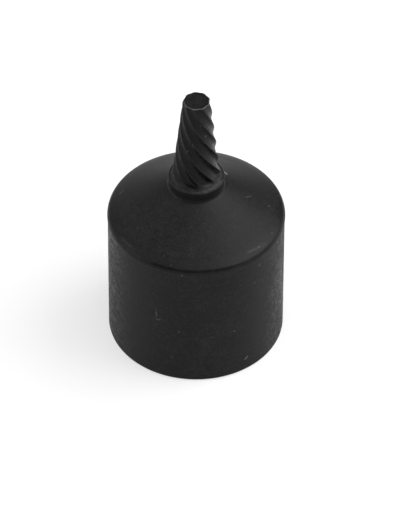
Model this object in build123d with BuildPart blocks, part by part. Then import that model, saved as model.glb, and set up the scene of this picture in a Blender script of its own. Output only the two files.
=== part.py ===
"""Screw extractor: a square drive body and a left hand fluted taper, in one piece of steel.

The tool stands on its drive end. The origin is on the axis at the base face, +Z points
to the tip, and all sizes are in millimetres. A right hand screw is backed out by turning
the tool counterclockwise as seen from the drive end, so the flutes climb left handed and
the steep side of every tooth faces the way that the tool turns.
"""

from build123d import *
from math import cos, radians, sin, sqrt, tan
import os

os.makedirs("parts", exist_ok=True)

# Drive body, a plain turned barrel
body_diameter = 30.0
base_chamfer = 0.25

# Rounded rim between the barrel and the nose, a little proud of the barrel
rim_height = 25.0
rim_radius = 1.2
rim_proud = 0.08

# Conical nose and the low collar at its top
nose_slope = 32.5
collar_diameter = 9.5
collar_height = 1.9
collar_foot_radius = 0.5
collar_edge_chamfer = 0.08

# Tapered extractor, measured on the crests of its teeth
extractor_length = 16.9
root_diameter = 8.25
tip_diameter = 4.65
root_fillet = 0.54
tip_chamfer = 0.3

# Spiral flutes, as shares of the local crest radius and of the tooth spacing
flute_count = 9
flute_lead = 31.5
flute_start_angle = -104.0
flute_depth_share = 0.12
land_share = 0.04
steep_share = 0.42

# Run-out just above the collar, where the flute cutter swings aside and out. The swing is
# given as a share of the steep side, and of the flute's depth, where the run-out ends
run_out_end = 0.4
run_out_length = 0.9
swing_aside_share = 0.7
swing_out_share = 0.6

# The flute cutter itself: how far it goes on beyond the cut at each end and outwards
cutter_foot = 0.15
cutter_overrun = 1.0
station_spacing = 0.6
cutter_reach_share = 0.3

# Female square drive, half inch nominal, with its running clearance
drive_sides = 4
drive_square = 12.85
drive_depth = 16.5
drive_corner_radius = 0.5
drive_mouth_diameter = 15.2
pilot_diameter = 12.2
pilot_extra_depth = 1.5
drill_point_angle = 118.0

# Detent dimples for the ball of the driving square, spotted with a drill point
detent_height = 8.0
detent_diameter = 4.2

# Places along the axis that follow from the sizes above
body_radius = body_diameter / 2
collar_radius = collar_diameter / 2
root_radius = root_diameter / 2
tip_radius = tip_diameter / 2
pilot_radius = pilot_diameter / 2
pilot_depth = drive_depth + pilot_extra_depth
mouth_radius = drive_mouth_diameter / 2
detent_radius = detent_diameter / 2
drill_point_run = tan(radians(drill_point_angle / 2))
slope = radians(nose_slope)
rim_centre_radius = body_radius + rim_proud - rim_radius
nose_start_radius = rim_centre_radius + rim_radius * sin(slope)
nose_start_height = rim_height + rim_radius * cos(slope)
nose_end_height = nose_start_height + (nose_start_radius - collar_radius) * tan(slope)
ledge_height = nose_end_height + collar_height
ledge_width = collar_radius - collar_edge_chamfer - root_radius
tip_height = ledge_height + extractor_length
rim_outer_radius = rim_centre_radius + rim_radius
crease_height = rim_height - sqrt(rim_radius**2 - (rim_radius - rim_proud) ** 2)


def crest_radius(height):
    """Radius of the tooth crests at a height above the base."""
    risen = (height - ledge_height) / extractor_length
    return root_radius + (tip_radius - root_radius) * risen


# Turned blank: barrel, rim, nose, collar and the plain taper before its flutes
collar_foot = (collar_radius, nose_end_height)
root_foot = (root_radius, ledge_height)

with BuildPart() as blank:
    with BuildSketch(Plane.XZ) as profile:
        with BuildLine():
            barrel = Polyline(
                (0, 0),
                (body_radius - base_chamfer, 0),
                (body_radius, base_chamfer),
                (body_radius, crease_height),
            )
            rim = ThreePointArc(
                barrel @ 1,
                (rim_outer_radius, rim_height),
                (nose_start_radius, nose_start_height),
            )
            nose = Line(rim @ 1, collar_foot)
            collar = Polyline(
                nose @ 1,
                (collar_radius, ledge_height - collar_edge_chamfer),
                (collar_radius - collar_edge_chamfer, ledge_height),
                root_foot,
            )
            taper = Polyline(
                collar @ 1,
                (crest_radius(tip_height - tip_chamfer), tip_height - tip_chamfer),
                (tip_radius - tip_chamfer, tip_height),
                (0, tip_height),
            )
            Line(taper @ 1, (0, 0))
        make_face()
        fillet(profile.vertices().sort_by_distance(collar_foot)[0], collar_foot_radius)
        fillet(profile.vertices().sort_by_distance(root_foot)[0], min(root_fillet, ledge_width))
    revolve(axis=Axis.Z)

# One flute cutter, lofted through sections that turn and shrink with the taper
pitch_angle = 360 / flute_count
groove_angle = pitch_angle * (1 - land_share)
steep_angle = groove_angle * steep_share
flank_angle = groove_angle - steep_angle
run_out_height = ledge_height + run_out_end
full_depth_height = run_out_height + run_out_length


def flute_angle(height):
    """Direction of the flute floor at a height, turning left handed towards the tip."""
    return flute_start_angle - steep_angle + (tip_height - height) * 360 / flute_lead


def swing(height):
    """How far the cutter has swung out of the flute at a height, from 0 to 1 and on."""
    risen = max(0.0, (full_depth_height - height) / run_out_length)
    return risen**2


def flute_points(height):
    """Corners of the cutter's section: floor, steep side, back and flank side."""
    crest = Vector(crest_radius(height), 0)
    floor = crest * (1 - flute_depth_share)
    steep = crest.rotate(Axis.Z, steep_angle) - floor
    flank = crest.rotate(Axis.Z, -flank_angle) - floor
    swung = (steep * swing_aside_share + (crest - floor) * swing_out_share) * swing(height)
    reach = 1 + cutter_reach_share
    corners = (floor, floor + steep * reach, crest * reach, floor + flank * reach)
    return [corner + swung for corner in corners]


cut_bottom = run_out_height - cutter_foot
cut_length = tip_height + cutter_overrun - cut_bottom
station_count = round(cut_length / station_spacing)

with BuildPart() as flute_cutter:
    for station in range(station_count + 1):
        height = cut_bottom + cut_length * station / station_count
        with BuildSketch(Plane.XY.offset(height).rotated((0, 0, flute_angle(height)))):
            with BuildLine():
                Polyline(*flute_points(height), close=True)
            make_face()
    loft()

# The tool itself: fluted blank with its square drive, drilled pilot and detents
with BuildPart() as screw_extractor:
    add(blank.part)
    with PolarLocations(0, flute_count):
        add(flute_cutter.part, mode=Mode.SUBTRACT)
    with BuildSketch():
        RectangleRounded(drive_square, drive_square, drive_corner_radius)
    extrude(amount=drive_depth, mode=Mode.SUBTRACT)
    with BuildSketch(Plane.XZ):
        with BuildLine():
            Polyline(
                (0, 0),
                (pilot_radius, 0),
                (pilot_radius, pilot_depth),
                (0, pilot_depth + pilot_radius / drill_point_run),
                close=True,
            )
        make_face()
    revolve(axis=Axis.Z, mode=Mode.SUBTRACT)
    with BuildSketch(Plane.XZ):
        with BuildLine():
            Polyline((0, 0), (mouth_radius, 0), (0, mouth_radius), close=True)
        make_face()
    revolve(axis=Axis.Z, mode=Mode.SUBTRACT)
    with Locations((0, 0, detent_height)):
        with PolarLocations(drive_square / 2, drive_sides):
            Cone(
                detent_radius,
                0,
                detent_radius / drill_point_run,
                rotation=(0, 90, 0),
                align=(Align.CENTER, Align.CENTER, Align.MIN),
                mode=Mode.SUBTRACT,
            )

screw_extractor.part.label = "screw_extractor"
export_step(screw_extractor.part, "parts/screw_extractor.step")
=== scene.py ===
"""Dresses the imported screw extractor: a fine mesh of the whole tool, its black finish and a studio.

The tool is one piece of steel, so one closed mesh stands for its one solid. The mesh is made of
rings, from the middle of the tip over the outside to the base and up into the square drive.
Its sizes are in millimetres, as in the solid, and become metres when the mesh is made.
"""

from __future__ import annotations

import logging
import math
from dataclasses import dataclass, field
from enum import Enum
from typing import Iterator, Mapping, Sequence, Union

import bpy
import numpy as np
from mathutils import Matrix, Vector


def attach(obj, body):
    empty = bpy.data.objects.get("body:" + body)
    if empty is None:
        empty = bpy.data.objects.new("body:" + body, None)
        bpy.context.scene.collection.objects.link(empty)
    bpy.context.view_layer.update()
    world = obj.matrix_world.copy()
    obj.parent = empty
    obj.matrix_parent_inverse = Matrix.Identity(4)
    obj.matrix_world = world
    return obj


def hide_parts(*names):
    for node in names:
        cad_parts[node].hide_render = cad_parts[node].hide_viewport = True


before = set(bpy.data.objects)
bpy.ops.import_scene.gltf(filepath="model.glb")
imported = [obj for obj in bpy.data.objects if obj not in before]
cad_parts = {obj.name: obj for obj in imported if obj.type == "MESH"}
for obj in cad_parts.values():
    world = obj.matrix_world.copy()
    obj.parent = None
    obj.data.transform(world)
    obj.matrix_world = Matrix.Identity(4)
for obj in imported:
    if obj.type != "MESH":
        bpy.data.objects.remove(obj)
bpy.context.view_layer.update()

LOG = logging.getLogger("screw_extractor_scene")
MM = 0.001
PHOTO_WIDTH, PHOTO_HEIGHT = 406, 512
SENSOR_MM = 36.0
FULL_TURN = 360.0
QUARTER_TURN = FULL_TURN / 4
ORIGIN = (0.0, 0.0, 0.0)
# Point attributes: the wear also holds a painted highlight on the root's fillet, and the polishing also
# darkens the black as painted shade
WEAR_AND_HIGHLIGHT_NAME = "wear_and_root_highlight"
POLISH_AND_SHADE_NAME = "handled_and_shaded"
NOISE_MIDDLE = 0.5
# Shares of a spot's size, and of all spots, that have the full strength
CORE_SHARE = 0.3
FULL_SHARE = 0.5


def link(name: str, data: bpy.types.ID) -> bpy.types.Object:
    """Makes an object and links it to the scene.

    Args:
        name: name of the object.
        data: its mesh, lamp or camera.

    Returns:
        The object.
    """
    thing = bpy.data.objects.new(name, data)
    bpy.context.scene.collection.objects.link(thing)
    return thing


@dataclass(frozen=True)
class BodySizes:
    """Barrel, rim, nose and collar, as turned."""

    body_diameter: float = 30.0
    base_chamfer: float = 0.25
    rim_height: float = 25.0
    rim_radius: float = 1.2
    rim_proud: float = 0.08
    nose_slope: float = 32.5
    collar_diameter: float = 9.5
    collar_height: float = 1.9
    collar_foot_radius: float = 0.5
    collar_edge_chamfer: float = 0.08

    @property
    def radius(self) -> float:
        """Radius of the barrel."""
        return self.body_diameter / 2

    @property
    def rim_centre_radius(self) -> float:
        """Distance from the axis to the centre of the rim's round."""
        return self.radius + self.rim_proud - self.rim_radius

    @property
    def crease_height(self) -> float:
        """Height at which the rim's round meets the barrel."""
        drop = math.sqrt(self.rim_radius**2 - (self.rim_radius - self.rim_proud) ** 2)
        return self.rim_height - drop

    @property
    def nose_start(self) -> tuple[float, float]:
        """Works out where the rim's round runs into the nose.

        Returns:
            The radius and the height.
        """
        slope = math.radians(self.nose_slope)
        return (
            self.rim_centre_radius + self.rim_radius * math.sin(slope),
            self.rim_height + self.rim_radius * math.cos(slope),
        )

    @property
    def collar_radius(self) -> float:
        """Radius of the collar."""
        return self.collar_diameter / 2

    @property
    def nose_end_height(self) -> float:
        """Height at which the nose would meet the collar's wall without its fillet."""
        start_radius, start_height = self.nose_start
        return start_height + (start_radius - self.collar_radius) * math.tan(math.radians(self.nose_slope))

    @property
    def ledge_height(self) -> float:
        """Height of the collar's top."""
        return self.nose_end_height + self.collar_height


@dataclass(frozen=True)
class TaperSizes:
    """The tapered extractor, measured on its crests, and its spiral flutes.

    The chamfer is smaller than the solid's, so that the flutes reach the tip's edge.
    """

    length: float = 16.9
    root_diameter: float = 8.25
    tip_diameter: float = 4.65
    root_fillet: float = 0.54
    tip_chamfer: float = 0.19
    flute_count: int = 9
    flute_lead: float = 31.5
    start_angle: float = -104.0
    depth_share: float = 0.12
    land_share: float = 0.04
    steep_share: float = 0.42
    run_out_end: float = 0.4
    run_out_length: float = 0.9
    swing_aside_share: float = 0.7
    swing_out_share: float = 0.6
    floor_softness: float = 0.09
    crest_softness: float = 0.018
    edge_break: float = 0.05

    @property
    def pitch_angle(self) -> float:
        """Angle from one tooth to the next, in degrees."""
        return FULL_TURN / self.flute_count

    @property
    def groove_angle(self) -> float:
        """Angle that one flute takes, in degrees."""
        return self.pitch_angle * (1 - self.land_share)

    @property
    def steep_angle(self) -> float:
        """Angle that a tooth's steep side takes, in degrees."""
        return self.groove_angle * self.steep_share


@dataclass(frozen=True)
class DriveSizes:
    """The female square drive in the base."""

    square: float = 12.85
    depth: float = 16.5
    corner_radius: float = 0.5
    mouth_diameter: float = 15.2
    pilot_diameter: float = 12.2
    pilot_extra_depth: float = 1.5
    point_angle: float = 118.0
    detent_height: float = 8.0
    detent_diameter: float = 4.2
    edge_break: float = 0.08

    @property
    def point_run(self) -> float:
        """Radius that the drill point gains for each unit of its depth."""
        return math.tan(math.radians(self.point_angle / 2))


@dataclass
class Ring:
    """One closed row of the mesh: angle, radius, height, wear with painted highlight, and polishing with
    painted shade, of each column.
    """

    angles: np.ndarray
    radii: np.ndarray
    heights: np.ndarray
    wear: np.ndarray
    polish_and_shade: np.ndarray

    def points(self) -> np.ndarray:
        """Points of the ring in metres, one row each."""
        turn, radii = np.radians(self.angles), self.radii
        return np.stack([radii * np.cos(turn), radii * np.sin(turn), self.heights], axis=1) * MM


class RingMesh:
    """Collects rings from one pole to the other and joins them to a closed mesh."""

    def __init__(self, columns: int) -> None:
        """Starts with no ring, for rings of so many columns."""
        self.columns = columns
        self.rings: list[Ring] = []

    def add(
        self,
        angles: np.ndarray,
        radii: np.ndarray | float,
        heights: np.ndarray | float,
        wear: np.ndarray | float = 0.0,
        polish_and_shade: np.ndarray | float = 0.0,
    ) -> None:
        """Adds a ring below the last one, in degrees and millimetres; one value can serve all columns."""
        spread = [np.broadcast_to(values, (self.columns,)) for values in (radii, heights, wear, polish_and_shade)]
        self.rings.append(Ring(angles, *spread))

    def build(self, name: str, first_height: float, last_height: float) -> bpy.types.Object:
        """Makes the mesh object, closed by a pole at each end.

        Args:
            name: name of the object and its mesh.
            first_height: height of the pole before the first ring, in millimetres.
            last_height: height of the pole after the last ring, in millimetres.

        Returns:
            The linked object, smooth shaded, with its wear and painted highlight, and its polishing and
            painted shade, as point attributes.
        """
        count, rows = self.columns, len(self.rings)
        points = np.concatenate([ring.points() for ring in self.rings])
        poles = np.array([[0.0, 0.0, first_height * MM], [0.0, 0.0, last_height * MM]])
        first_pole, last_pole = rows * count, rows * count + 1
        here = np.arange(count)
        beside = (here + 1) % count
        pairs = list(zip(here.tolist(), beside.tolist()))
        faces: list[tuple[int, ...]] = [(first_pole, a, b) for a, b in pairs]
        for row in range(rows - 1):
            above, below = row * count, (row + 1) * count
            quads = np.stack([above + here, below + here, below + beside, above + beside], axis=1)
            faces.extend(map(tuple, quads.tolist()))
        start = (rows - 1) * count
        faces.extend((last_pole, start + b, start + a) for a, b in pairs)
        mesh = bpy.data.meshes.new(name)
        mesh.from_pydata(np.concatenate([points, poles]).tolist(), [], faces)
        mesh.validate()
        mesh.polygons.foreach_set("use_smooth", [True] * len(mesh.polygons))
        wear, polish_and_shade = [ring.wear for ring in self.rings], [ring.polish_and_shade for ring in self.rings]
        for attribute, values in ((WEAR_AND_HIGHLIGHT_NAME, wear), (POLISH_AND_SHADE_NAME, polish_and_shade)):
            kept = mesh.attributes.new(attribute, "FLOAT", "POINT")
            whole = np.concatenate([*values, np.zeros(len(poles))])
            kept.data.foreach_set("value", whole.astype(np.float32))
        mesh.update()
        return link(name, mesh)


def smooth_max(first: np.ndarray, second: np.ndarray, softness: float) -> np.ndarray:
    """Larger of two values, rounded over about the width of softness where they cross."""
    return (first + second + np.sqrt((first - second) ** 2 + softness**2)) / 2


def smooth_min(first: np.ndarray, second: np.ndarray, softness: float) -> np.ndarray:
    """Smaller of two values, rounded over about the width of softness where they cross."""
    return -smooth_max(-first, -second, softness)


def spread_columns(
    marks_and_glints: Sequence[float], weights: Sequence[float], count: int, samples: int = 2000
) -> np.ndarray:
    """Places columns along an angle, closer together where the weight is high.

    Args:
        marks_and_glints: angles in degrees, rising.
        weights: columns per degree wanted at each mark, up to a common factor.
        count: number of columns, the last mark itself left out.
        samples: number of angles at which the weight is summed up.

    Returns:
        The columns' angles in degrees.
    """
    fine = np.linspace(marks_and_glints[0], marks_and_glints[-1], samples)
    density = np.interp(fine, marks_and_glints, weights)
    filled = np.concatenate([[0.0], np.cumsum((density[1:] + density[:-1]) / 2)])
    return np.interp(np.arange(count) / count * filled[-1], filled, fine)


def from_flat(angles: np.ndarray) -> np.ndarray:
    """Angle of each column from the middle of the square drive's nearest flat, in radians."""
    corner = QUARTER_TURN / 2
    return np.radians((angles + corner) % QUARTER_TURN - corner)


@dataclass(frozen=True)
class TurnedPoint:
    """One point of the turned outside: its radius, its height, its wear with any painted highlight, and
    its polishing with its painted shade.
    """

    radius: float
    height: float
    wear: float = 0.0
    polish_and_shade: float = 0.0


@dataclass
class FlutedTaper:
    """The extractor's fluted surface as a radius for each angle and height."""

    body: BodySizes
    sizes: TaperSizes
    columns: int
    corner_weight: float = 6.0
    corner_reach: float = 1.2
    least_slant: float = 0.15
    far_share: float = 4.0
    wear_reach: float = 0.06

    @property
    def tip_height(self) -> float:
        """Height of the tip."""
        return self.body.ledge_height + self.sizes.length

    def crest_radius(self, height: float) -> float:
        """Radius of the crests at a height, without the lead and the root's fillet."""
        sizes, risen = self.sizes, (height - self.body.ledge_height) / self.sizes.length
        return (sizes.root_diameter + (sizes.tip_diameter - sizes.root_diameter) * risen) / 2

    def blank_radius(self, height: float) -> float:
        """Radius of the turned taper at a height, with its chamfered tip."""
        sizes, below = self.sizes, self.tip_height - height
        return min(self.crest_radius(height), sizes.tip_diameter / 2 - sizes.tip_chamfer + below)

    def turn_at(self, height: float) -> float:
        """Direction of the flute floors at a height, in degrees, left handed towards the tip."""
        turned = (self.tip_height - height) * FULL_TURN / self.sizes.flute_lead
        return self.sizes.start_angle - self.sizes.steep_angle + turned

    def swing(self, height: float) -> float:
        """How far the cutter has swung out of the flute at a height, from 0 to 1 and on."""
        full_depth = self.body.ledge_height + self.sizes.run_out_end + self.sizes.run_out_length
        return max(0.0, (full_depth - height) / self.sizes.run_out_length) ** 2

    def tooth_columns(self) -> np.ndarray:
        """Places the columns of all teeth, closer together at crests and floors.

        Returns:
            The columns' angles in degrees, measured from a flute's floor.
        """
        sizes, reach = self.sizes, self.corner_reach
        low = sizes.steep_angle - sizes.pitch_angle
        corners = (low, low + sizes.pitch_angle - sizes.groove_angle, 0.0, sizes.steep_angle)
        wanted = []
        for corner in corners:
            wanted += [(corner - reach, 1.0), (corner, self.corner_weight), (corner + reach, 1.0)]
        marks_and_glints, weights = zip(*sorted(pair for pair in wanted if low <= pair[0] <= sizes.steep_angle))
        one = spread_columns(marks_and_glints, weights, self.columns // sizes.flute_count)
        return np.concatenate([one + tooth * sizes.pitch_angle for tooth in range(sizes.flute_count)])

    def radii_at(self, height: float, local: np.ndarray, blank_radius: float | None = None) -> np.ndarray:
        """Radius of the surface for columns at a height.

        Args:
            height: height above the base in millimetres.
            local: column angles from a flute's floor, in degrees.
            blank_radius: radius before the flutes are cut, if it isn't the taper's own.

        Returns:
            The radius of each column in millimetres.
        """
        sizes = self.sizes
        crest = self.crest_radius(height)
        floor = np.array([crest * (1 - sizes.depth_share), 0.0])
        pitch = sizes.pitch_angle
        folded = (local - sizes.steep_angle) % pitch + sizes.steep_angle - pitch
        corners = np.radians([sizes.steep_angle, sizes.steep_angle - sizes.groove_angle])
        runs = crest * np.stack([np.cos(corners), np.sin(corners)], axis=1) - floor
        outwards = np.array([crest, 0.0]) - floor
        swung = runs[0] * sizes.swing_aside_share + outwards * sizes.swing_out_share
        apex = floor + swung * self.swing(height)
        sides = []
        for run in runs:
            normal = np.array([abs(run[1]), -run[0] * math.copysign(1, run[1])])
            normal /= np.linalg.norm(normal)
            sides.append((float(normal @ apex), math.degrees(math.atan2(normal[1], normal[0]))))
        blank = np.full_like(folded, blank_radius or self.blank_radius(height))
        surface = blank
        for shift in (-pitch, 0.0, pitch):
            walls = []
            for away, facing in sides:
                slant = np.cos(np.radians(folded + shift - facing))
                reached = away / np.maximum(slant, self.least_slant)
                walls.append(np.where(slant > self.least_slant, reached, crest * self.far_share))
            flute = smooth_max(walls[0], walls[1], sizes.floor_softness)
            surface = smooth_min(surface, flute, sizes.crest_softness)
        return np.minimum(surface, blank)

    def wear_at(self, height: float, radii: np.ndarray) -> np.ndarray:
        """Wear of the crests: full on the highest columns of a ring, none in the flutes."""
        return np.exp(-((self.blank_radius(height) - radii) / self.wear_reach) ** 2)


@dataclass(frozen=True)
class RowPlan:
    """How the mesh is divided: its columns, the rows of each stretch, and the rows beside edges.

    The support, gaps, steps and drops are in millimetres and the corners' reach in degrees. Shares
    are of the way over a face.
    """

    columns: int = 324
    support: float = 0.03
    edge_drop: float = 0.005
    step_gap: float = 0.0075
    tip_face_shares: tuple[float, ...] = (0.2, 0.45, 0.7, 0.9)
    chamfer_rows: int = 5
    chamfer_gap: float = 0.06
    flute_gap: float = 0.1
    flute_step: float = 0.22
    run_out_fineness: int = 3
    root_rows: int = 6
    collar_rows: int = 5
    collar_gap: float = 0.15
    foot_rows: int = 8
    nose_rows: int = 26
    rim_rows: int = 17
    wall_rows: int = 34
    wall_gap: float = 0.3
    base_shares: tuple[float, ...] = (0.08, 0.3, 0.55, 0.8, 0.95)
    corner_reach: float = 3.0
    corner_weight: float = 5.0
    mouth_rows: int = 6
    mouth_gap: float = 0.3
    detent_rows: int = 36
    detent_gap: float = 0.15
    deep_rows: int = 8
    deep_gap: float = 0.4
    pilot_rows: int = 4
    point_shares: tuple[float, ...] = (0.98, 0.75, 0.5, 0.25)


@dataclass(frozen=True)
class Rubbing:
    """How far use has taken the black off each place and how smooth it has made it, with painted light
    besides.

    A wear of 1 gives the wear colour in full where it isn't broken up, and a polishing of 1 the
    full gloss of a much held tool and, as painted shade, a darker black. The root's wear is a painted
    highlight on its fillet and the collar's top. Widths and reaches are in millimetres.
    """

    # Each polishing in this table also darkens the black, as painted shade
    tip_wear: float = 2.0
    tip_wear_reach: float = 0.1
    tip_face_wear: float = 0.8
    tip_polish_and_shade: float = 1.0
    crest_wear: float = 0.12
    taper_polish_and_shade: float = 0.55
    # Painted highlight: wear that lightens the root's fillet and the collar's top
    root_painted_highlight: float = 0.12
    root_polish_and_shade_loss: float = 0.75
    collar_wear: float = 0.2
    collar_polish_and_shade: float = 0.8
    nose_polish_and_shade_width: float = 1.8
    rim_polish_and_shade: float = 0.75
    rim_polish_and_shade_from: float = 0.35
    rim_polish_and_shade_rise: float = 3.0
    base_side_wear: float = 0.1
    base_wear: float = 0.35
    base_polish_and_shade: float = 0.8
    mouth_wear: float = 0.6
    square_wear: float = 0.4


@dataclass
class ExtractorTool:
    """The whole tool: barrel, rim, nose, collar, fluted taper and square drive in one mesh.

    The rim's round ends so many degrees below its middle as its low turn says, and a small step
    leads from there to the barrel.
    """

    body: BodySizes = field(default_factory=BodySizes)
    taper: TaperSizes = field(default_factory=TaperSizes)
    drive: DriveSizes = field(default_factory=DriveSizes)
    rows: RowPlan = field(default_factory=RowPlan)
    rubbing: Rubbing = field(default_factory=Rubbing)
    rim_low_turn: float = 6.0

    def __post_init__(self) -> None:
        """Prepares the fluted surface and the two sets of columns."""
        self.fluted = FlutedTaper(self.body, self.taper, self.rows.columns)
        self.local = self.fluted.tooth_columns()
        self.root_turn = self.fluted.turn_at(self.body.ledge_height)
        self.even = self.square_columns()

    def square_columns(self) -> np.ndarray:
        """Places the columns of the square drive, closer together at its corners.

        Returns:
            The columns' angles in degrees, turned so that they start near the taper's.
        """
        corner, weight = QUARTER_TURN / 2, self.rows.corner_weight
        near, sides = corner - self.rows.corner_reach, round(FULL_TURN / QUARTER_TURN)
        marks_and_glints, weights = [-corner, -near, near, corner], [weight, 1, 1, weight]
        one = spread_columns(marks_and_glints, weights, self.rows.columns // sides)
        turned = round((self.root_turn + self.local[0]) / QUARTER_TURN)
        return np.concatenate([one + QUARTER_TURN * (turned + side) for side in range(sides)])

    def square_radii(self, angles: np.ndarray) -> np.ndarray:
        """Works out the square drive's wall, with its rounded corners.

        Args:
            angles: angle of each column in degrees.

        Returns:
            The radius of each column in millimetres.
        """
        half = self.drive.square / 2
        inner = half - self.drive.corner_radius
        folded = from_flat(angles)
        flat = half / np.cos(folded)
        off = np.abs(folded) - math.pi / 4
        reach = self.drive.corner_radius**2 - 2 * inner**2 * np.sin(off) ** 2
        arc = inner * math.sqrt(2) * np.cos(off) + np.sqrt(np.maximum(reach, 0))
        on_arc = half * np.tan(np.abs(folded)) > inner
        return np.where(on_arc, arc, flat)

    def flute_heights(self) -> np.ndarray:
        """Places the rows from the tip's edge down to the root's fillet.

        Returns:
            Their heights, falling, in millimetres.
        """
        rows, taper, ledge = self.rows, self.taper, self.body.ledge_height
        top = self.fluted.tip_height
        chamfer_end = top - taper.tip_chamfer
        fillet_top = ledge + taper.root_fillet
        fine_end = ledge + taper.run_out_end + taper.run_out_length
        fine_rows = round((fine_end - fillet_top) / rows.flute_step * rows.run_out_fineness)
        chamfered = np.linspace(top - taper.edge_break, chamfer_end - rows.chamfer_gap, rows.chamfer_rows)
        fluted = np.arange(chamfer_end - rows.flute_gap, fine_end, -rows.flute_step)
        return np.concatenate([chamfered, fluted, np.linspace(fine_end, fillet_top, fine_rows)])

    def add_taper(self, rings: RingMesh) -> None:
        """Adds the tip's face, the lead, the fluted length and the root's fillet.

        Args:
            rings: the mesh in the making.
        """
        rows, rubbing, taper, fluted = self.rows, self.rubbing, self.taper, self.fluted
        top = fluted.tip_height
        angles = self.local + fluted.turn_at(top)
        edge = fluted.radii_at(top - taper.edge_break, self.local) - taper.edge_break
        # The polishing of the tip and the taper also darkens their black, as painted shade
        for share in rows.tip_face_shares:
            rings.add(angles, edge * share, top, 0.0, rubbing.taper_polish_and_shade)
        rings.add(angles, edge - 2 * rows.support, top, 0.0, rubbing.taper_polish_and_shade)
        rings.add(angles, edge - rows.support, top, rubbing.tip_face_wear)
        rings.add(angles, edge, top - rows.edge_drop, rubbing.tip_wear, rubbing.tip_polish_and_shade)
        for height in self.flute_heights():
            radii = fluted.radii_at(height, self.local)
            crest = fluted.wear_at(height, radii) * rubbing.crest_wear
            rim = rubbing.tip_wear * math.exp(-(((top - height) / rubbing.tip_wear_reach) ** 2))
            wear = np.maximum(crest, rim)
            rings.add(self.local + fluted.turn_at(height), radii, height, wear, rubbing.taper_polish_and_shade)
        radius, fillet_top = taper.root_fillet, self.body.ledge_height + taper.root_fillet
        # On the root's fillet the wear is a painted highlight, and the polishing and its painted shade
        # lessen towards the ledge
        for step in range(1, rows.root_rows + 1):
            done = step / rows.root_rows
            turn = math.radians(QUARTER_TURN * done)
            height = fillet_top - radius * math.sin(turn)
            blank = fluted.crest_radius(fillet_top) + radius * (1 - math.cos(turn))
            flutes = fluted.radii_at(height, self.local, blank)
            polish_and_shade = rubbing.taper_polish_and_shade * (1 - rubbing.root_polish_and_shade_loss * done)
            rings.add(self.local + fluted.turn_at(height), flutes, height, rubbing.root_painted_highlight, polish_and_shade)

    def collar_profile(self) -> Iterator[TurnedPoint]:
        """Walks down the collar, from its upper edge to the end of its foot's fillet.

        Yields:
            The points that are turned into rings.
        """
        body, rows, rubbing = self.body, self.rows, self.rubbing
        ledge, collar, chamfer = body.ledge_height, body.collar_radius, body.collar_edge_chamfer
        # The collar's polishing also darkens its black as painted shade, and its top takes the root's
        # painted highlight
        polish_and_shade = rubbing.collar_polish_and_shade
        yield TurnedPoint(collar - chamfer - rows.support, ledge, rubbing.root_painted_highlight)
        yield TurnedPoint(collar - chamfer, ledge - rows.edge_drop, rubbing.collar_wear, polish_and_shade)
        yield TurnedPoint(collar, ledge - chamfer, rubbing.collar_wear, polish_and_shade)
        yield TurnedPoint(collar, ledge - chamfer - rows.support, polish_and_shade=polish_and_shade)
        foot, slope = body.collar_foot_radius, math.radians(body.nose_slope)
        fillet_top = body.nose_end_height + foot / math.tan((math.pi / 2 + slope) / 2)
        for height in np.linspace(ledge - chamfer - rows.collar_gap, fillet_top, rows.collar_rows):
            yield TurnedPoint(collar, height, polish_and_shade=polish_and_shade)
        for step in range(1, rows.foot_rows + 1):
            turn = (math.pi / 2 - slope) * step / rows.foot_rows
            radius, height = collar + foot * (1 - math.cos(turn)), fillet_top - foot * math.sin(turn)
            yield TurnedPoint(radius, height, polish_and_shade=polish_and_shade)

    def nose_profile(self, foot: TurnedPoint) -> Iterator[TurnedPoint]:
        """Walks down the nose and round the rim.

        Args:
            foot: the last point of the collar, where the nose begins.

        Yields:
            The points that are turned into rings.
        """
        body, rows, rubbing = self.body, self.rows, self.rubbing
        end_radius, end_height = body.nose_start
        for share in np.linspace(0, 1, rows.nose_rows)[1:-1]:
            radius = foot.radius + (end_radius - foot.radius) * share
            height = foot.height + (end_height - foot.height) * share
            # Near the rim the nose is polished, which also darkens its black as painted shade
            near_rim = max(0.0, 1 - (end_radius - radius) / rubbing.nose_polish_and_shade_width)
            yield TurnedPoint(radius, height, polish_and_shade=near_rim * rubbing.rim_polish_and_shade)
        low, high = math.radians(self.rim_low_turn), math.radians(QUARTER_TURN - body.nose_slope)
        near_end = rows.step_gap / body.rim_radius - low
        # The rim's round is polished as well, with the same painted shade
        for turn in [*np.linspace(high, near_end, rows.rim_rows), -low]:
            risen = (turn - rubbing.rim_polish_and_shade_from) / (high - rubbing.rim_polish_and_shade_from)
            polish_and_shade = min(max(risen * rubbing.rim_polish_and_shade_rise, 0.0), 1.0) * rubbing.rim_polish_and_shade
            radius = body.rim_centre_radius + body.rim_radius * math.cos(turn)
            yield TurnedPoint(radius, body.rim_height + body.rim_radius * math.sin(turn), polish_and_shade=polish_and_shade)

    def barrel_profile(self) -> Iterator[TurnedPoint]:
        """Walks down the barrel, from the small step under the rim to the base's edge.

        Yields:
            The points that are turned into rings.
        """
        body, rows, rubbing = self.body, self.rows, self.rubbing
        radius, chamfer, support = body.radius, body.base_chamfer, rows.support
        top = body.rim_height - body.rim_radius * math.sin(math.radians(self.rim_low_turn))
        for drop in (rows.step_gap, 2 * rows.step_gap, 4 * support):
            yield TurnedPoint(radius, top - drop)
        for height in np.linspace(top - rows.wall_gap, chamfer + rows.wall_gap, rows.wall_rows):
            yield TurnedPoint(radius, height)
        yield TurnedPoint(radius, chamfer + support, rubbing.base_side_wear)
        # The base's edge is polished too, which also darkens its black as painted shade
        rubbed = (rubbing.base_wear, rubbing.base_polish_and_shade)
        yield TurnedPoint(radius - support / 4, chamfer - support / 2, *rubbed)
        yield TurnedPoint(radius - chamfer + support / 2, support / 4, *rubbed)
        yield TurnedPoint(radius - chamfer - support, 0.0, rubbing.base_side_wear)

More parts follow.
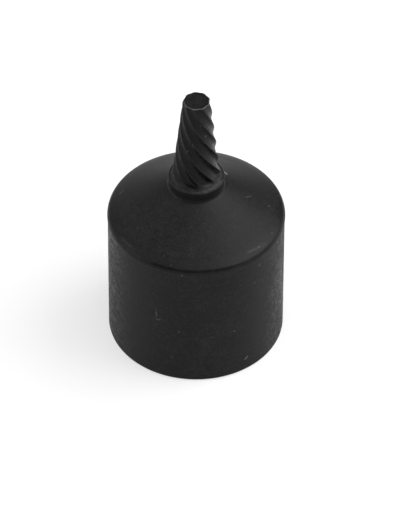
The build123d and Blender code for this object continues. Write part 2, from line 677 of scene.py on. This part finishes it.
    def add_outside(self, rings: RingMesh) -> None:
        """Adds the collar, nose, rim and barrel, and swings the columns over to the square's.

        Args:
            rings: the mesh in the making.
        """
        fluted_turn = self.local + self.root_turn
        crease = self.body.crease_height
        collar = list(self.collar_profile())
        for point in [*collar, *self.nose_profile(collar[-1]), *self.barrel_profile()]:
            done = min(max((crease - point.height) / crease, 0.0), 1.0)
            angles = fluted_turn + (self.even - fluted_turn) * done
            rings.add(angles, point.radius, point.height, point.wear, point.polish_and_shade)

    def add_drive(self, rings: RingMesh) -> None:
        """Adds the base's face, the countersunk mouth, the square, its detents and the pilot hole.

        Args:
            rings: the mesh in the making.
        """
        drive, rows, rubbing, angles = self.drive, self.rows, self.rubbing, self.even
        square, mouth_radius = self.square_radii(angles), drive.mouth_diameter / 2
        mouth, outer = np.maximum(mouth_radius, square), self.body.radius - self.body.base_chamfer
        for share in rows.base_shares:
            rings.add(angles, outer + (mouth + drive.edge_break - outer) * share, 0.0)
        rings.add(angles, mouth + drive.edge_break, rows.edge_drop, rubbing.mouth_wear)
        rings.add(angles, mouth, drive.edge_break, rubbing.mouth_wear)
        start = np.maximum(drive.edge_break * 2, mouth_radius - square)
        rings.add(angles, square, start, rubbing.square_wear)
        low = drive.detent_height - drive.detent_diameter / 2
        high = drive.detent_height + drive.detent_diameter / 2
        for rise in np.linspace(0, 1, rows.mouth_rows)[1:-1]:
            rings.add(angles, square, start + (low - rows.mouth_gap - start) * rise)
        for height in np.linspace(low - rows.detent_gap, high + rows.detent_gap, rows.detent_rows):
            rings.add(angles, self.dimpled(angles, square, height), height)
        for height in np.linspace(high + rows.deep_gap, drive.depth - rows.support, rows.deep_rows):
            rings.add(angles, square, height)
        pilot, pilot_depth = drive.pilot_diameter / 2, drive.depth + drive.pilot_extra_depth
        rings.add(angles, square - rows.support, drive.depth)
        rings.add(angles, pilot + rows.support, drive.depth)
        for height in np.linspace(drive.depth + rows.support, pilot_depth, rows.pilot_rows):
            rings.add(angles, pilot, height)
        for share in rows.point_shares:
            rings.add(angles, pilot * share, pilot_depth + pilot * (1 - share) / drive.point_run)

    def dimpled(self, angles: np.ndarray, square: np.ndarray, height: float) -> np.ndarray:
        """Sinks the detent dimples into the square's wall, at a height that may cross them.

        Args:
            angles: angle of each column in degrees.
            square: radius of the plain wall at each column.
            height: height above the base.

        Returns:
            The radius of each column with its part of the dimples.
        """
        drive, folded = self.drive, from_flat(angles)
        along = square * np.sin(folded)
        from_centre = np.hypot(along, height - drive.detent_height)
        depth = np.maximum(drive.detent_diameter / 2 - from_centre, 0) / drive.point_run
        return np.hypot(square * np.cos(folded) + depth, along)

    def build(self) -> bpy.types.Object:
        """Makes the tool's mesh object.

        Returns:
            The object, linked to the scene, standing for the solid.
        """
        rings = RingMesh(self.rows.columns)
        self.add_taper(rings)
        self.add_outside(rings)
        self.add_drive(rings)
        drive = self.drive
        deepest = drive.depth + drive.pilot_extra_depth + drive.pilot_diameter / 2 / drive.point_run
        tool = rings.build("extractor_tool", self.fluted.tip_height, deepest)
        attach(tool, "root")
        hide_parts("screw_extractor")
        return tool

    def dress(self, tool: bpy.types.Object, finish: "BlackOxide") -> None:
        """Gives the tool's mesh its finish."""
        tool.data.materials.append(finish.build(self))


class Calc(Enum):
    """Sums that a shader value can take part in."""

    ADD = "ADD"
    SUBTRACT = "SUBTRACT"
    MULTIPLY = "MULTIPLY"
    LARGER = "MAXIMUM"
    SMALLER = "MINIMUM"


class VectorCalc(Enum):
    """Sums that a shader vector can take part in."""

    ADD = "ADD"
    SUBTRACT = "SUBTRACT"
    MULTIPLY = "MULTIPLY"
    SCALE = "SCALE"
    DOT = "DOT_PRODUCT"
    DISTANCE = "DISTANCE"
    LENGTH = "LENGTH"


Socket = bpy.types.NodeSocket
Feed = Union["Value", Socket, float, Sequence[float]]


class Value:
    """A shader socket that takes part in Python sums, each of which adds a Math node."""

    def __init__(self, nodes: "Nodes", socket: Socket) -> None:
        """Wraps an output socket that carries one number."""
        self.nodes = nodes
        self.socket = socket

    def calc(self, kind: Calc, first: Feed, second: Feed) -> "Value":
        """Adds one Math node and returns its result."""
        made = self.nodes.add("ShaderNodeMath", {"operation": kind.value}, {0: first, 1: second})
        return Value(self.nodes, made.outputs[0])

    def __add__(self, other: Feed) -> "Value":
        """Adds other to this value."""
        return self.calc(Calc.ADD, self, other)

    __radd__ = __add__

    def __sub__(self, other: Feed) -> "Value":
        """Takes other from this value."""
        return self.calc(Calc.SUBTRACT, self, other)

    def __rsub__(self, other: Feed) -> "Value":
        """Takes this value from other."""
        return self.calc(Calc.SUBTRACT, other, self)

    def __mul__(self, other: Feed) -> "Value":
        """Multiplies this value by other."""
        return self.calc(Calc.MULTIPLY, self, other)

    __rmul__ = __mul__

    def larger(self, other: Feed) -> "Value":
        """Returns the larger of this value and other."""
        return self.calc(Calc.LARGER, self, other)

    def smaller(self, other: Feed) -> "Value":
        """Returns the smaller of this value and other."""
        return self.calc(Calc.SMALLER, self, other)

    def between(self, low: float, high: float) -> "Value":
        """Adds a smooth rise from 0 at low to 1 at high.

        Args:
            low: the value that gives 0.
            high: the value that gives 1.

        Returns:
            The risen share.
        """
        settings = {"interpolation_type": "SMOOTHSTEP", "clamp": True}
        made = self.nodes.add("ShaderNodeMapRange", settings, {0: self, 1: low, 2: high, 3: 0.0, 4: 1.0})
        return Value(self.nodes, made.outputs[0])


class Nodes:
    """A node tree that is filled by one method."""

    def __init__(self, tree: bpy.types.NodeTree) -> None:
        """Takes over the tree of a material or world and empties it."""
        self.tree = tree
        tree.nodes.clear()

    def add(
        self,
        kind: str,
        settings: Mapping[str, object] | None = None,
        inputs: Mapping[Union[int, str], Feed] | None = None,
    ) -> bpy.types.Node:
        """Adds a node.

        Args:
            kind: the node's type.
            settings: properties of the node, set before its inputs.
            inputs: values or links of its sockets, by name or number.

        Returns:
            The new node.
        """
        made = self.tree.nodes.new(kind)
        for name, setting in (settings or {}).items():
            setattr(made, name, setting)
        for name, given in (inputs or {}).items():
            socket = made.inputs[name]
            if isinstance(given, Value):
                self.tree.links.new(given.socket, socket)
            elif isinstance(given, Socket):
                self.tree.links.new(given, socket)
            else:
                socket.default_value = given
        return made

    def value(self, socket: Socket) -> Value:
        """Wraps an output socket for sums."""
        return Value(self, socket)

    def attribute(self, name: str) -> Value:
        """Reads one of the mesh's point attributes."""
        return self.value(self.add("ShaderNodeAttribute", {"attribute_name": name}).outputs["Fac"])

    def blend(self, share: Feed, first: Feed, second: Feed) -> Socket:
        """Mixes two colours.

        Args:
            share: 0 for the first colour and 1 for the second.
            first: one colour.
            second: the other colour.

        Returns:
            The socket of the mixed colour.
        """
        settings = {"data_type": "RGBA", "clamp_factor": True}
        made = self.add("ShaderNodeMix", settings, {0: share, 6: first, 7: second})
        return made.outputs[2]

    def vector(self, kind: VectorCalc, first: Feed, second: Feed) -> Socket:
        """Adds vector maths that gives a vector; the scale's factor is its second value."""
        inputs = {0: first, 3 if kind is VectorCalc.SCALE else 1: second}
        return self.add("ShaderNodeVectorMath", {"operation": kind.value}, inputs).outputs[0]

    def measure(self, kind: VectorCalc, first: Feed, second: Feed) -> Value:
        """Adds vector maths that gives one number."""
        made = self.add("ShaderNodeVectorMath", {"operation": kind.value}, {0: first, 1: second})
        return self.value(made.outputs["Value"])


def new_material(name: str) -> tuple[bpy.types.Material, Nodes]:
    """Makes a material whose node tree is still empty.

    Args:
        name: name of the material.

    Returns:
        The material and its tree.
    """
    material = bpy.data.materials.new(name)
    material.use_nodes = True
    return material, Nodes(material.node_tree)


def grey(level: float) -> tuple[float, float, float, float]:
    """Colour of a linear grey level."""
    return (level, level, level, 1.0)


def spot(apart: Value, size: float) -> Value:
    """Gives 1 in the core of a spot or stroke, and less and less up to 0 at its size."""
    return 1 - apart.between(size * CORE_SHARE, size)


def on_round(azimuth: float, radius: float, height: float) -> tuple[float, float, float]:
    """Place in millimetres by azimuth from the front in degrees, distance from the axis and height."""
    turn = math.radians(azimuth)
    return (radius * math.sin(turn), -radius * math.cos(turn), height)


class Zone(Enum):
    """The surfaces that scratches, specks and painted reflections lie on."""

    WALL = "wall"
    NOSE = "nose"
    TAPER = "taper"


@dataclass(frozen=True)
class Mark:
    """A small light mark in the black finish: a speck, a short scratch, a painted reflection streak, a
    painted highlight band.

    A place on the wall or the taper is an azimuth from the front and a height, and one on the nose
    is an azimuth and a distance from the axis. A speck ends where it starts.
    """

    zone: Zone
    start: tuple[float, float]
    end: tuple[float, float] | None = None
    size: float = 0.15
    strength: float = 0.1

    def place(self, tool: "ExtractorTool", where: tuple[float, float]) -> tuple[float, float, float]:
        """Works out a place on the tool.

        Args:
            tool: the tool that is marked.
            where: azimuth in degrees, and height or radius in millimetres.

        Returns:
            The place in millimetres.
        """
        azimuth, along = where
        if self.zone is Zone.NOSE:
            start_radius, start_height = tool.body.nose_start
            rise = (start_radius - along) * math.tan(math.radians(tool.body.nose_slope))
            return on_round(azimuth, along, start_height + rise)
        if self.zone is Zone.TAPER:
            local = azimuth - QUARTER_TURN - tool.fluted.turn_at(along)
            radius = float(tool.fluted.radii_at(along, np.array([local]))[0])
            return on_round(azimuth, radius, along)
        return on_round(azimuth, tool.body.radius, along)

    def mask(self, nodes: Nodes, place: Socket, tool: "ExtractorTool") -> Value:
        """Adds the mark's own mask.

        Args:
            nodes: the material's tree.
            place: the shaded point in millimetres.
            tool: the tool that is marked.

        Returns:
            The strength at the mark and 0 away from it.
        """
        first = Vector(self.place(tool, self.start))
        if self.end is None:
            apart = nodes.measure(VectorCalc.DISTANCE, place, tuple(first))
        else:
            run = Vector(self.place(tool, self.end)) - first
            offset = nodes.vector(VectorCalc.SUBTRACT, place, tuple(first))
            along = nodes.measure(VectorCalc.DOT, offset, tuple(run / run.length_squared))
            reached = nodes.vector(VectorCalc.SCALE, tuple(run), along.larger(0.0).smaller(1.0))
            apart = nodes.measure(VectorCalc.DISTANCE, offset, reached)
        return spot(apart, self.size) * self.strength


@dataclass(frozen=True)
class Specks:
    """Tiny round spots strewn over the whole surface, at most one in each cell of space."""

    scale: float
    size: float
    share: float
    strength: float

    def mask(self, nodes: Nodes, place: Socket) -> Value:
        """Adds the mask of all spots.

        Args:
            nodes: the material's tree.
            place: the shaded point in millimetres.

        Returns:
            1 in the middle of a spot and 0 away from it.
        """
        cells = nodes.add("ShaderNodeTexVoronoi", {}, {"Vector": place, "Scale": self.scale})
        split = nodes.add("ShaderNodeSeparateColor", {}, {0: cells.outputs["Color"]})
        left_out = nodes.value(split.outputs[0]).between(self.share * FULL_SHARE, self.share)
        return spot(nodes.value(cells.outputs["Distance"]), self.size) * (1 - left_out)


@dataclass(frozen=True)
class Layer:
    """One noise of the finish, and how far it sways the black's shade and its gloss."""

    scale: float
    detail: float = 3.0
    roughness: float = 0.55
    shade: float = 0.0
    gloss: float = 0.0

    def noise(self, nodes: Nodes, place: Feed) -> Value:
        """Adds the layer's noise, from 0 to 1, with features of about one over its scale."""
        inputs = {"Vector": place, "Scale": self.scale, "Detail": self.detail, "Roughness": self.roughness}
        return nodes.value(nodes.add("ShaderNodeTexNoise", {}, inputs).outputs[0])


@dataclass(frozen=True)
class BlackOxide:
    """Satin black oxide on tool steel, with grain, turning lines, edge wear, scratches, and painted light
    and shade.
    """

    base: float = 0.0078
    # Grey of edge wear, and of the painted highlight on the root's fillet
    worn_and_highlight_grey: float = 0.1
    # Grey of scratches and specks, and of the painted reflections and highlight among them
    bare_and_glint_grey: float = 0.45
    roughness: float = 0.5
    polished: float = 0.35
    specular: float = 0.16
    # Painted shade: how much darker the black is where polished
    polish_painted_shade: float = 0.6
    least_shade: float = 0.05
    most_shade: float = 4.0
    least_roughness: float = 0.15
    mottling: float = 1.25
    nose_roughening: float = 0.7
    wall_roughening: float = 2.4
    # Painted shade: how much darker the wall's black is than the nose's
    wall_painted_shade: float = 0.32
    grain: Layer = Layer(3.0, roughness=0.7, shade=4.6, gloss=0.7)
    patches: Layer = Layer(0.9, roughness=0.6, shade=2.4, gloss=0.4)
    cloud: Layer = Layer(0.16, detail=2.0, shade=1.4, gloss=0.2)
    lathe: Layer = Layer(1.0, roughness=0.65, shade=1.4, gloss=0.2)
    wear_breaks: Layer = Layer(1.6)
    wear_break_edge: tuple[float, float] = (0.38, 0.62)
    wear_break_loss: float = 0.6
    pits: Specks = Specks(1.3, 0.22, 0.4, 0.7)
    dust: Specks = Specks(0.8, 0.15, 0.35, 0.05)
    grain_depth: float = 0.01
    lathe_depth_share: float = 0.3
    pit_depth: float = 0.02
    turning_scale: float = 3.2
    turning_wander: float = 0.12
    mark_raggedness: float = 0.25
    mark_ragged_scale: float = 5.0
    wall_top: tuple[float, float] = (24.6, 24.95)
    taper_foot: tuple[float, float] = (34.3, 34.9)
    # Painted shade: how much darker the taper's black is
    taper_painted_shade: float = 0.6
    taper_roughening: float = 2.2
    # Scratches and specks, with painted reflections on the rim and a painted highlight on the root's
    # fillet among them
    marks_and_glints: tuple[Mark, ...] = (
        Mark(Zone.WALL, (-8.8, 24.97), size=0.24, strength=0.2),
        Mark(Zone.WALL, (45.0, 23.15), (45.8, 23.5), size=0.16, strength=0.16),
        Mark(Zone.WALL, (41.5, 19.75), size=0.18, strength=0.26),
        Mark(Zone.WALL, (-28.8, 19.0), size=0.16, strength=0.08),
        Mark(Zone.WALL, (18.0, 18.0), size=0.14, strength=0.06),
        Mark(Zone.WALL, (-10.8, 11.5), size=0.2, strength=0.2),
        Mark(Zone.WALL, (26.0, 10.5), size=0.2, strength=0.22),
        Mark(Zone.WALL, (10.8, 10.1), size=0.2, strength=0.1),
        Mark(Zone.WALL, (-16.2, 5.2), (-14.9, 4.9), size=0.13, strength=0.1),
        Mark(Zone.WALL, (34.4, 2.6), (36.2, 3.0), size=0.17, strength=0.36),
        Mark(Zone.WALL, (-26.6, 16.0), (-26.5, 13.2), size=0.12, strength=0.07),
        Mark(Zone.WALL, (-26.5, 14.9), (-26.5, 14.1), size=0.16, strength=0.16),
        Mark(Zone.WALL, (-26.4, 13.1), (-23.6, 13.4), size=0.14, strength=0.14),
        Mark(Zone.NOSE, (-23.8, 13.2), size=0.22, strength=0.07),
        Mark(Zone.NOSE, (-17.0, 14.3), size=0.2, strength=0.06),
        Mark(Zone.NOSE, (-103.0, 13.35), (-106.2, 12.85), size=0.17, strength=0.09),
        # Painted reflections: soft light streaks on the rim's round, to both sides of the front
        Mark(Zone.NOSE, (-62.0, 14.45), (-47.0, 14.3), size=0.42, strength=0.016),
        Mark(Zone.NOSE, (-59.0, 14.45), (-51.0, 14.35), size=0.26, strength=0.03),
        Mark(Zone.NOSE, (38.5, 13.8), (54.5, 14.3), size=0.42, strength=0.018),
        Mark(Zone.NOSE, (40.0, 13.85), (45.0, 14.0), size=0.22, strength=0.06),
        Mark(Zone.NOSE, (48.7, 14.05), size=0.22, strength=0.15),
        Mark(Zone.NOSE, (45.0, 14.05), (50.0, 14.15), size=0.3, strength=0.03),
        Mark(Zone.NOSE, (-64.0, 13.2), size=0.22, strength=0.06),
        Mark(Zone.NOSE, (83.5, 8.4), (89.2, 9.25), size=0.15, strength=0.08),
        Mark(Zone.NOSE, (87.5, 12.3), size=0.22, strength=0.11),
        Mark(Zone.NOSE, (65.2, 14.05), size=0.22, strength=0.07),
        Mark(Zone.NOSE, (126.8, 5.8), (120.5, 5.95), size=0.17, strength=0.8),
        Mark(Zone.TAPER, (16.5, 47.6), size=0.2, strength=0.14),
        Mark(Zone.TAPER, (35.2, 45.0), size=0.26, strength=0.14),
        Mark(Zone.TAPER, (-33.2, 41.65), (-27.0, 42.2), size=0.16, strength=0.2),
        # Painted highlight: a broad faint band on the root's fillet, on the side towards the key lamp
        Mark(Zone.TAPER, (20.0, 34.3), (62.0, 34.3), size=1.1, strength=0.04),
        Mark(Zone.TAPER, (-12.4, 43.8), (-9.4, 43.1), size=0.15, strength=0.12),
        Mark(Zone.TAPER, (-22.5, 41.05), size=0.16, strength=0.1),
    )

    def all_marks_and_glints(self, nodes: Nodes, place: Socket, tool: "ExtractorTool") -> Value:
        """Joins the masks of all scratches, specks, painted reflections and painted highlights, each a
        little ragged.

        Args:
            nodes: the material's tree.
            place: the shaded point in millimetres.
            tool: the tool that is marked.

        Returns:
            The strongest mark at each point.
        """
        inputs = {"Vector": place, "Scale": self.mark_ragged_scale, "Detail": 1.0}
        ragged = nodes.add("ShaderNodeTexNoise", {}, inputs).outputs["Color"]
        centred = nodes.vector(VectorCalc.SUBTRACT, ragged, (NOISE_MIDDLE, NOISE_MIDDLE, NOISE_MIDDLE))
        shift = nodes.vector(VectorCalc.SCALE, centred, self.mark_raggedness)
        shifted = nodes.vector(VectorCalc.ADD, place, shift)
        total = self.marks_and_glints[0].mask(nodes, shifted, tool)
        for mark in self.marks_and_glints[1:]:
            total = total.larger(mark.mask(nodes, shifted, tool))
        return total

    def lathe_place(self, nodes: Nodes, place: Socket, height: Value) -> Socket:
        """Works out coordinates in which noise becomes faint turning marks.

        Args:
            nodes: the material's tree.
            place: the shaded point in millimetres.
            height: its height in millimetres.

        Returns:
            Distance from the axis and height, which wander a little with the place.
        """
        across = nodes.vector(VectorCalc.MULTIPLY, place, (1.0, 1.0, 0.0))
        radius = nodes.measure(VectorCalc.LENGTH, across, ORIGIN)
        scaled = {0: radius * self.turning_scale, 1: height * self.turning_scale}
        turned = nodes.add("ShaderNodeCombineXYZ", {}, scaled).outputs[0]
        around = nodes.vector(VectorCalc.SCALE, place, self.turning_wander)
        return nodes.vector(VectorCalc.ADD, turned, around)

    def build(self, tool: "ExtractorTool") -> bpy.types.Material:
        """Makes the material.

        Args:
            tool: the tool, whose sizes place the scratches, specks and painted light.

        Returns:
            The material.
        """
        material, nodes = new_material("black_oxide_steel")
        object_place = nodes.add("ShaderNodeTexCoord").outputs["Object"]
        place = nodes.vector(VectorCalc.SCALE, object_place, 1 / MM)
        height = nodes.value(nodes.add("ShaderNodeSeparateXYZ", {}, {0: place}).outputs[2])
        wear, polish_and_shade = nodes.attribute(WEAR_AND_HIGHLIGHT_NAME), nodes.attribute(POLISH_AND_SHADE_NAME)
        on_wall, on_taper = 1 - height.between(*self.wall_top), height.between(*self.taper_foot)
        pits = self.pits.mask(nodes, place)

        # Four noises, all stronger on the wall and the taper than on the nose
        layers = (self.grain, self.patches, self.cloud, self.lathe)
        places = (place, place, place, self.lathe_place(nodes, place, height))
        noises = [layer.noise(nodes, where) for layer, where in zip(layers, places)]
        swings = [(layer, noise - NOISE_MIDDLE) for layer, noise in zip(layers, noises)]
        strong = on_wall * self.wall_roughening + on_taper * self.taper_roughening + self.nose_roughening
        mottle = sum(swing * layer.shade for layer, swing in swings) * strong
        gloss = sum(swing * layer.gloss for layer, swing in swings) * strong

        # Black with painted shade on the wall, the taper and polished places, then edge wear with a
        # painted highlight at the root, then scratches, specks, painted reflections and highlights, and
        # light dust
        level = (1 - on_wall * self.wall_painted_shade) * (1 - on_taper * self.taper_painted_shade)
        level = level * (1 - polish_and_shade * self.polish_painted_shade)
        shade = (mottle * self.mottling + 1) * (1 - pits * self.pits.strength)
        share = shade.larger(self.least_shade) * level * (1 / self.most_shade)
        dark = nodes.blend(share, grey(0.0), grey(self.base * self.most_shade))
        broken = self.wear_breaks.noise(nodes, place).between(*self.wear_break_edge)
        left = broken * self.wear_break_loss + (1 - self.wear_break_loss)
        rubbed = nodes.blend((wear * left).smaller(1.0), dark, grey(self.worn_and_highlight_grey))
        dust = self.dust.mask(nodes, place) * self.dust.strength
        shown = nodes.blend(self.all_marks_and_glints(nodes, place, tool).larger(dust), rubbed, grey(self.bare_and_glint_grey))

        # Gloss and relief
        rough = (gloss + 1) * (self.roughness - polish_and_shade * (self.roughness - self.polished))
        relief = (noises[0] + noises[-1] * self.lathe_depth_share) * self.grain_depth
        depth = relief - pits * self.pit_depth
        bump = nodes.add("ShaderNodeBump", {}, {"Height": depth, "Distance": MM, "Strength": 1.0})
        inputs = {
            "Base Color": shown,
            "Roughness": rough.larger(self.least_roughness),
            "Normal": bump.outputs[0],
            "Specular IOR Level": self.specular,
        }
        shader = nodes.add("ShaderNodeBsdfPrincipled", {}, inputs)
        nodes.add("ShaderNodeOutputMaterial", {}, {"Surface": shader.outputs[0]})
        return material


@dataclass(frozen=True)
class CameraFit:
    """The photograph's camera, in the tool's frame, as found from its outline.

    Angles are in degrees, places in millimetres, the focal length in pixels and the clip in metres.
    """

    elevation: float = 44.41
    distance: float = 874.0
    aside: float = 1.18
    aim_height: float = 15.03
    roll: float = 0.28
    focal_px: float = 5121.7
    clip: tuple[float, float] = (0.05, 20.0)

    def build(self) -> bpy.types.Object:
        """Makes the camera and sets it as the scene's.

        Returns:
            The camera object.
        """
        tilt, roll = math.radians(self.elevation), math.radians(self.roll)
        toward = Vector((0.0, math.cos(tilt), -math.sin(tilt)))
        place = Vector((self.aside, 0.0, self.aim_height)) - toward * self.distance
        right, up = Vector((1.0, 0.0, 0.0)), Vector((0.0, math.sin(tilt), math.cos(tilt)))
        turned_right = right * math.cos(roll) + up * math.sin(roll)
        turned_up = up * math.cos(roll) - right * math.sin(roll)
        data = bpy.data.cameras.new("camera")
        data.sensor_width = SENSOR_MM
        data.lens = self.focal_px * SENSOR_MM / max(PHOTO_WIDTH, PHOTO_HEIGHT)
        data.clip_start, data.clip_end = self.clip
        camera = link("camera", data)
        axes = Matrix((turned_right, turned_up, -toward)).transposed()
        camera.matrix_world = Matrix.Translation(place * MM) @ axes.to_4x4()
        bpy.context.scene.camera = camera
        return camera


def direction(azimuth: float, elevation: float) -> Vector:
    """Unit vector towards an azimuth from the front and an elevation, both in degrees."""
    turn, rise = math.radians(azimuth), math.radians(elevation)
    return Vector((math.sin(turn) * math.cos(rise), -math.cos(turn) * math.cos(rise), math.sin(rise)))


@dataclass(frozen=True)
class Stand:
    """Something flat that faces the tool: its direction in degrees and its sizes in metres."""

    name: str
    azimuth: float
    elevation: float
    distance: float
    width: float
    height: float

    def put_up(self, data: bpy.types.ID, target: Vector) -> bpy.types.Object:
        """Makes the object and turns it to the target.

        Args:
            data: a lamp, which shines down its own Z axis, or a card's mesh.
            target: the point that it faces, in metres.

        Returns:
            The linked object, which the camera doesn't see.
        """
        away = direction(self.azimuth, self.elevation)
        thing = link(self.name, data)
        thing.location = target + away * self.distance
        thing.rotation_mode = "QUATERNION"
        thing.rotation_quaternion = away.to_track_quat("Z", "Y")
        thing.visible_camera = False
        return thing


@dataclass(frozen=True)
class Softbox(Stand):
    """A soft lamp of so many watts."""

    watts: float

    def build(self, target: Vector) -> bpy.types.Object:
        """Makes the lamp.

        Args:
            target: the point that it faces, in metres.

        Returns:
            The lamp object.
        """
        data = bpy.data.lights.new(self.name, "AREA")
        data.shape = "RECTANGLE"
        data.size, data.size_y = self.width, self.height
        data.energy = self.watts
        return self.put_up(data, target)


@dataclass(frozen=True)
class GreyCard(Stand):
    """A flat card, from nearly black to light grey, that only the tool's gloss can see."""

    level: float

    def build(self, target: Vector) -> bpy.types.Object:
        """Makes the card.

        Args:
            target: the point that it faces, in metres.

        Returns:
            The card object.
        """
        across, up = self.width / 2, self.height / 2
        mesh = bpy.data.meshes.new(self.name)
        corners = [(-across, -up, 0), (across, -up, 0), (across, up, 0), (-across, up, 0)]
        mesh.from_pydata(corners, [], [(0, 1, 2, 3)])
        material, nodes = new_material(self.name)
        glow = nodes.add("ShaderNodeEmission", {}, {"Color": grey(1.0), "Strength": self.level})
        nodes.add("ShaderNodeOutputMaterial", {}, {"Surface": glow.outputs[0]})
        mesh.materials.append(material)
        card = self.put_up(mesh, target)
        card.visible_diffuse = False
        card.visible_shadow = False
        return card


@dataclass
class Studio:
    """Pale floor, pale surroundings, soft lamps and grey cards round the tool, in metres."""

    aim_height: float = 0.025
    floor_rings: tuple[float, ...] = (0.013, 0.05, 0.3, 6.0)
    floor_segments: int = 96
    floor_colour: float = 0.5
    floor_glow: float = 0.55
    # Painted shade on the floor's glow near the tool, for gloss: its reach and its loss
    contact_reach: tuple[float, float] = (0.015, 0.12)
    contact_painted_shade: float = 0.2
    shown_level: float = 1.0
    world_level: float = 0.45
    lamps: tuple[Softbox, ...] = (
        Softbox("key_box", 96.0, 48.0, 0.55, 0.5, 0.5, 2.5),
        Softbox("fill_box", -78.0, 26.0, 0.7, 0.4, 0.5, 0.85),
        Softbox("top_box", 10.0, 82.0, 0.75, 0.45, 0.35, 0.9),
    )
    cards: tuple[GreyCard, ...] = (
        GreyCard("front_card", -10.0, 43.0, 1.0, 2.4, 0.72, 0.03),
        GreyCard("back_card", 180.0, 42.0, 1.2, 0.9, 0.7, 0.6),
        GreyCard("low_card", 148.0, 12.0, 1.0, 0.8, 0.6, 0.02),
        GreyCard("left_card", -145.0, 13.0, 1.0, 0.9, 0.5, 0.5),
    )

    def build_floor(self) -> bpy.types.Object:
        """Makes the floor, a wide ring whose small hole the tool covers.

        Returns:
            The floor object.
        """
        segments = self.floor_segments
        turns = [math.tau * step / segments for step in range(segments)]
        around = [(math.cos(turn), math.sin(turn)) for turn in turns]
        points = [(radius * x, radius * y, 0.0) for radius in self.floor_rings for x, y in around]
        faces = []
        for row in range(len(self.floor_rings) - 1):
            inner, outer = row * segments, (row + 1) * segments
            for step in range(segments):
                beside = (step + 1) % segments
                faces.append((inner + step, outer + step, outer + beside, inner + beside))
        mesh = bpy.data.meshes.new("floor")
        mesh.from_pydata(points, [], faces)
        mesh.materials.append(self.floor_finish())
        floor = link("floor", mesh)
        return floor

    def floor_finish(self) -> bpy.types.Material:
        """Makes the floor's material: pale, white to camera and gloss, and clear from below.

        Returns:
            The material, whose glow is less near the tool for gloss alone, a painted shade.
        """
        material, nodes = new_material("pale_floor")
        shown = self.seen_direct(nodes)
        paint = nodes.add("ShaderNodeBsdfDiffuse", {}, {"Color": grey(self.floor_colour)})
        place = nodes.add("ShaderNodeTexCoord").outputs["Object"]
        away = nodes.measure(VectorCalc.LENGTH, place, ORIGIN)
        camera = nodes.add("ShaderNodeLightPath").outputs["Is Camera Ray"]
        # Painted shade: for gloss rays the floor glows less near the tool, as if the tool hid part of the
        # sky; camera rays see the full glow
        clear_of_tool = away.between(*self.contact_reach).larger(camera)
        open_sky = clear_of_tool * self.contact_painted_shade + (1 - self.contact_painted_shade)
        glow = nodes.add("ShaderNodeEmission", {}, {"Color": grey(1.0), "Strength": self.floor_glow})
        part = nodes.add("ShaderNodeMixShader", {}, {0: shown * open_sky, 2: glow.outputs[0]})
        front = nodes.add("ShaderNodeAddShader", {}, {0: paint.outputs[0], 1: part.outputs[0]})
        below = nodes.add("ShaderNodeBsdfTransparent")
        behind = nodes.add("ShaderNodeNewGeometry").outputs["Backfacing"]
        sides = nodes.add("ShaderNodeMixShader", {}, {0: behind, 1: front.outputs[0], 2: below.outputs[0]})
        nodes.add("ShaderNodeOutputMaterial", {}, {"Surface": sides.outputs[0]})
        return material

    @staticmethod
    def seen_direct(nodes: Nodes) -> Value:
        """Tells direct sight and reflections from all other light.

        Args:
            nodes: the tree of the floor's material or of the world.

        Returns:
            1 for camera, glossy and transmission rays and 0 for all others.
        """
        path = nodes.add("ShaderNodeLightPath")
        shown = nodes.value(path.outputs["Is Camera Ray"])
        return shown.larger(path.outputs["Is Glossy Ray"]).larger(path.outputs["Is Transmission Ray"])

    def build_world(self) -> None:
        """Makes the pale surroundings: white to the camera and to gloss, softer as light."""
        world = bpy.data.worlds.new("studio")
        world.use_nodes = True
        nodes = Nodes(world.node_tree)
        level = self.seen_direct(nodes) * (self.shown_level - self.world_level) + self.world_level
        light = nodes.add("ShaderNodeBackground", {}, {"Color": grey(1.0), "Strength": level})
        nodes.add("ShaderNodeOutputWorld", {}, {"Surface": light.outputs[0]})
        bpy.context.scene.world = world

    def build(self) -> list[bpy.types.Object]:
        """Makes the floor, the surroundings, the lamps and the cards.

        Returns:
            The objects of the studio, the surroundings aside.
        """
        self.build_world()
        bpy.context.scene.view_settings.view_transform = "Standard"
        aim = Vector((0.0, 0.0, self.aim_height))
        return [self.build_floor()] + [stand.build(aim) for stand in self.lamps + self.cards]


def report(piece: bpy.types.Object) -> None:
    """Logs a piece's name, place and size in millimetres.

    Args:
        piece: the object that is reported.
    """
    place = ", ".join(f"{part / MM:.1f}" for part in piece.location)
    size = " x ".join(f"{part / MM:.1f}" for part in piece.dimensions)
    LOG.info("%s: at %s, size %s", piece.name, place, size)


def main() -> None:
    """Builds the tool, its finish, the camera and the studio."""
    logging.basicConfig(level=logging.INFO, format="%(message)s")
    maker = ExtractorTool()
    tool = maker.build()
    finish = BlackOxide()
    maker.dress(tool, finish)
    LOG.info("%s: %d faces, %d marks", tool.name, len(tool.data.polygons), len(finish.marks_and_glints))
    for piece in (tool, CameraFit().build(), *Studio().build()):
        report(piece)


if __name__ == "__main__":
    main()
